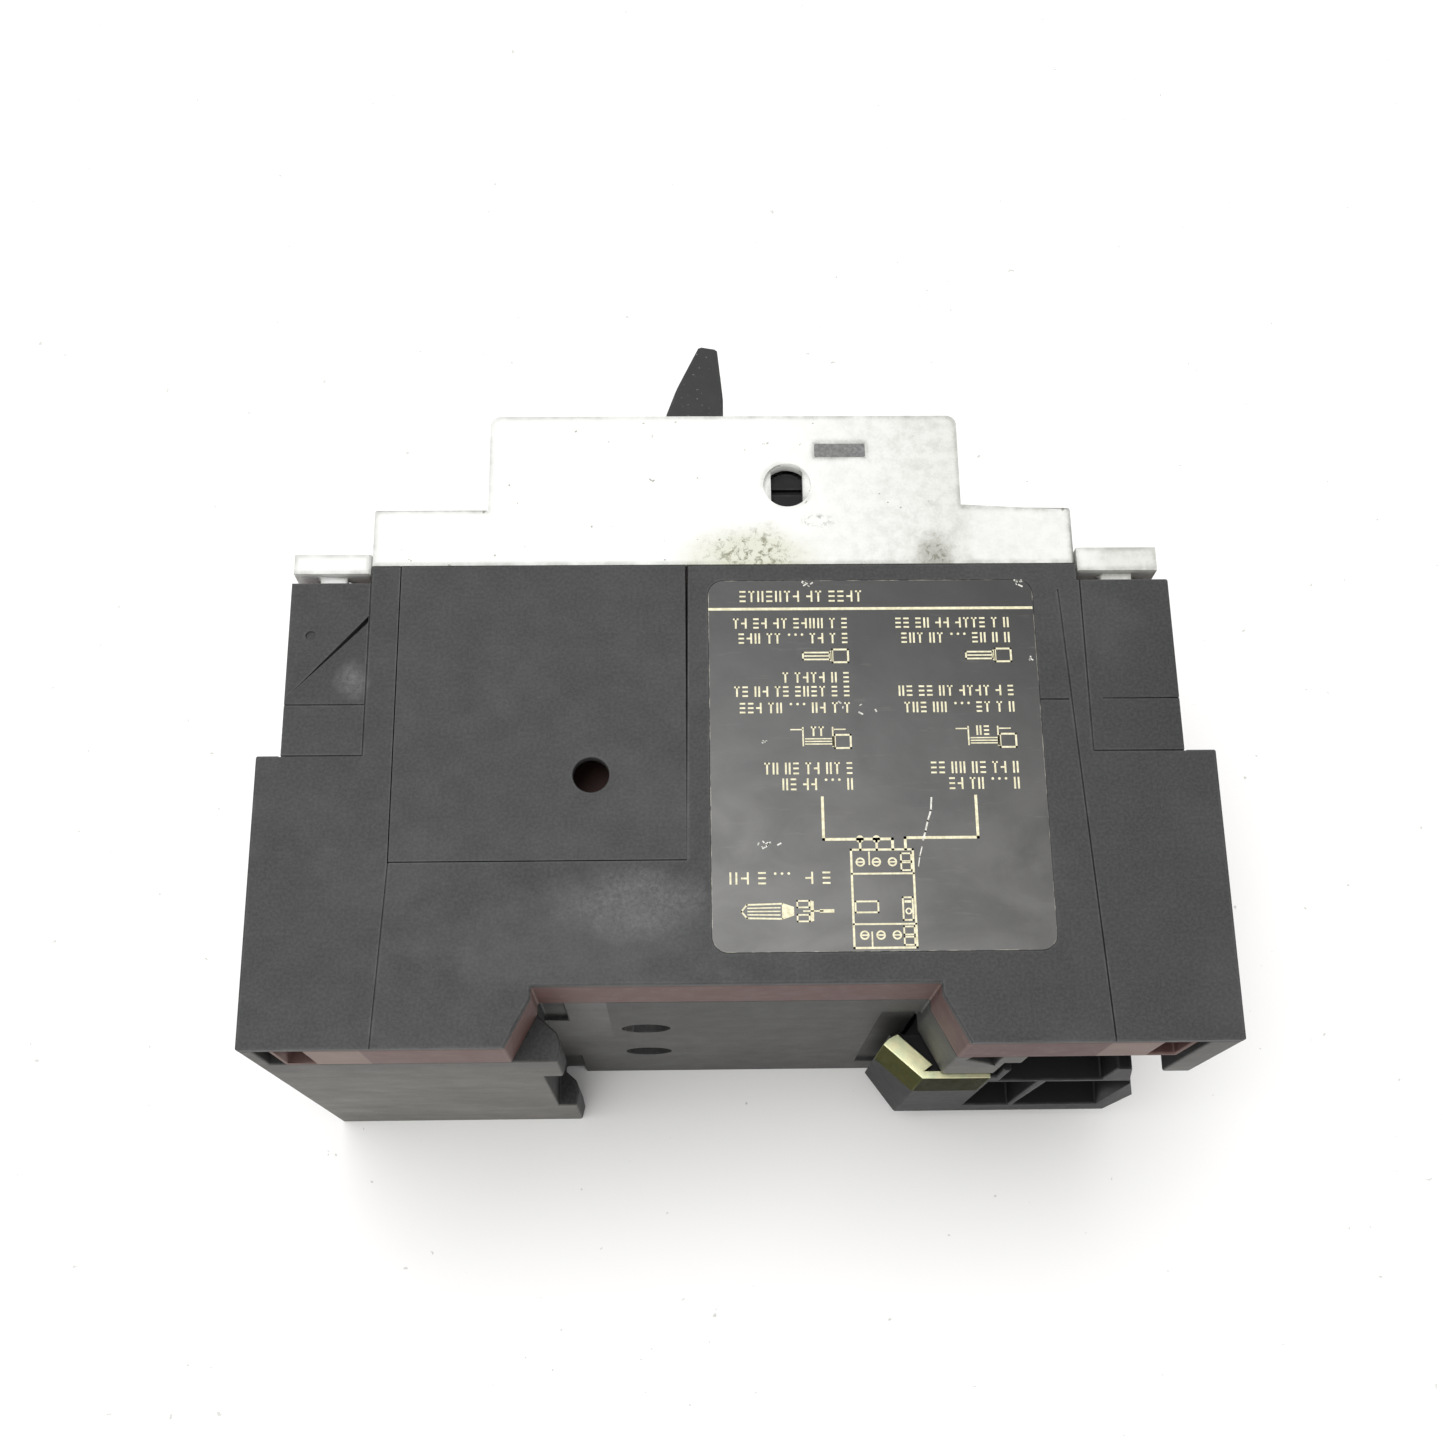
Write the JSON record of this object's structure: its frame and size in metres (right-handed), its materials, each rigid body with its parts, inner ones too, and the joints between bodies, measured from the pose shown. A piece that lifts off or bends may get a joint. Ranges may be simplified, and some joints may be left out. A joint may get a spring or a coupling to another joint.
{
  "type": "motor protection breaker",
  "caption": "Rail-mounted motor protection breaker with a toggle lever, adjustable overload trip, magnetic trips and a built-on auxiliary contact module.",
  "frame": {"origin": "middle of the rail seat, at half the width", "axes": "+X from the line end to the load end, +Y from the rail to the front, +Z from the right side to the left side"},
  "size_m": [0.09, 0.0885, 0.054],
  "materials": {
    "black_thermoset": "matte",
    "grey_cover": "matte, fine grain",
    "red_thermoset": "matte",
    "label_film": "satin film",
    "slider_black": "matte",
    "lever_black": "matte",
    "zinc_yellow": "yellow passivated",
    "steel": "bright zinc",
    "spring_steel": "bright",
    "copper": "satin",
    "contact_metal": "satin",
    "natural_plastic": "matte",
    "dial_plastic": "satin",
    "test_red": "satin"
  },
  "bodies": {
    "root": {"base_housing": "black_thermoset", "upper_housing": "black_thermoset", "side_cover": "black_thermoset", "blanking_panel": "black_thermoset", "front_cover": "grey_cover", "line_terminal_cover": "grey_cover", "load_terminal_cover": "grey_cover", "module_housing": "red_thermoset", "side_label": "label_film", "housing_screws": "steel", "lever_pin": "steel", "mechanism_frame": "steel", "adjuster_bracket": "steel", "magnet_yokes": "steel", "line_clamps": "steel", "load_clamps": "steel", "line_screws": "steel", "load_screws": "steel", "arc_chute_1": "steel", "arc_chute_2": "steel", "arc_chute_3": "steel", "slider_spring": "spring_steel", "main_spring": "spring_steel", "test_spring": "spring_steel", "module_spring": "spring_steel", "line_strap_1": "copper", "line_strap_2": "copper", "line_strap_3": "copper", "middle_strap_1": "copper", "middle_strap_2": "copper", "middle_strap_3": "copper", "load_strap_1": "copper", "load_strap_2": "copper", "load_strap_3": "copper", "trip_coil_1": "copper", "trip_coil_2": "copper", "trip_coil_3": "copper", "bimetal_1": "contact_metal", "bimetal_2": "contact_metal", "bimetal_3": "contact_metal", "module_straps": "contact_metal"},
    "lever": {"toggle_lever": "lever_black"},
    "link": {"drive_link": "steel"},
    "carrier": {"contact_carrier": "natural_plastic", "contact_springs": "spring_steel", "contact_bridge_1": "contact_metal", "contact_bridge_2": "contact_metal", "contact_bridge_3": "contact_metal"},
    "module_carrier": {"module_plunger": "natural_plastic", "module_bridge": "contact_metal"},
    "trip": {"trip_bar": "natural_plastic"},
    "latch": {"latch": "steel"},
    "plunger_1": {"plunger_1": "steel"},
    "plunger_2": {"plunger_2": "steel"},
    "plunger_3": {"plunger_3": "steel"},
    "coupling": {"coupling_shaft": "slider_black"},
    "dial": {"current_dial": "dial_plastic"},
    "test": {"test_button": "test_red"},
    "slider": {"rail_slider": "slider_black", "latch_plate": "zinc_yellow"}
  },
  "joints": [
    {"name": "lever_pivot", "type": "hinge", "parent": "root", "child": "lever", "pos_m": [-0.0083, 0.046, -0.0125], "axis": [0, 0, 1], "range_deg": [-12, 32], "deforming": ["main_spring"]},
    {"name": "link_pivot", "type": "hinge", "parent": "lever", "child": "link", "pos_m": [-0.00934, 0.04009, -0.0125], "axis": [0, 0, 1], "range_deg": [-33, 13]},
    {"name": "carrier_slide", "type": "slide", "parent": "root", "child": "carrier", "axis": [0, -1, 0], "range_m": [-0.0008, 0.002]},
    {"name": "module_slide", "type": "slide", "parent": "root", "child": "module_carrier", "axis": [0, -1, 0], "range_m": [-0.0008, 0.002], "deforming": ["module_spring"]},
    {"name": "trip_bar_pivot", "type": "hinge", "parent": "root", "child": "trip", "pos_m": [0.02, 0.0345, -0.0045], "axis": [0, 0, 1], "range_deg": [-12, 0], "stiffness_Nm_per_rad": 0.004, "springref_deg": 11.46},
    {"name": "latch_pivot", "type": "hinge", "parent": "root", "child": "latch", "pos_m": [0.0025, 0.038, -0.0084], "axis": [0, 0, 1], "range_deg": [0, 10]},
    {"name": "plunger_1_slide", "type": "slide", "parent": "root", "child": "plunger_1", "axis": [0, 1, 0], "range_m": [0, 0.0022], "stiffness_N_per_m": 40, "springref_m": -0.001},
    {"name": "plunger_2_slide", "type": "slide", "parent": "root", "child": "plunger_2", "axis": [0, 1, 0], "range_m": [0, 0.0022], "stiffness_N_per_m": 40, "springref_m": -0.001},
    {"name": "plunger_3_slide", "type": "slide", "parent": "root", "child": "plunger_3", "axis": [0, 1, 0], "range_m": [0, 0.0022], "stiffness_N_per_m": 40, "springref_m": -0.001},
    {"name": "coupling_turn", "type": "hinge", "parent": "root", "child": "coupling", "pos_m": [0.00523, 0.04949, 0.012], "axis": [0, 0, 1], "range_deg": [0, 20], "stiffness_Nm_per_rad": 0.003, "springref_deg": -11.46},
    {"name": "dial_turn", "type": "hinge", "parent": "root", "child": "dial", "pos_m": [-0.012, 0.05, 0.0175], "axis": [0, 1, 0], "range_deg": [-130, 130]},
    {"name": "test_press", "type": "slide", "parent": "root", "child": "test", "axis": [0, -1, 0], "range_m": [0, 0.0015], "stiffness_N_per_m": 40, "springref_m": -0.001, "deforming": ["test_spring"]},
    {"name": "slider_pull", "type": "slide", "parent": "root", "child": "slider", "axis": [1, 0, 0], "range_m": [0, 0.003], "stiffness_N_per_m": 250, "springref_m": -0.002, "deforming": ["slider_spring"]}
  ],
  "couplings": [
    {"joint": "link_pivot", "follows": "lever_pivot", "ratio": -1},
    {"joint": "carrier_slide", "follows": "lever_pivot", "m_per_rad": 0.0032},
    {"joint": "module_slide", "follows": "lever_pivot", "m_per_rad": 0.0032},
    {"joint": "latch_pivot", "follows": "trip_bar_pivot", "ratio": -0.8}
  ]
}
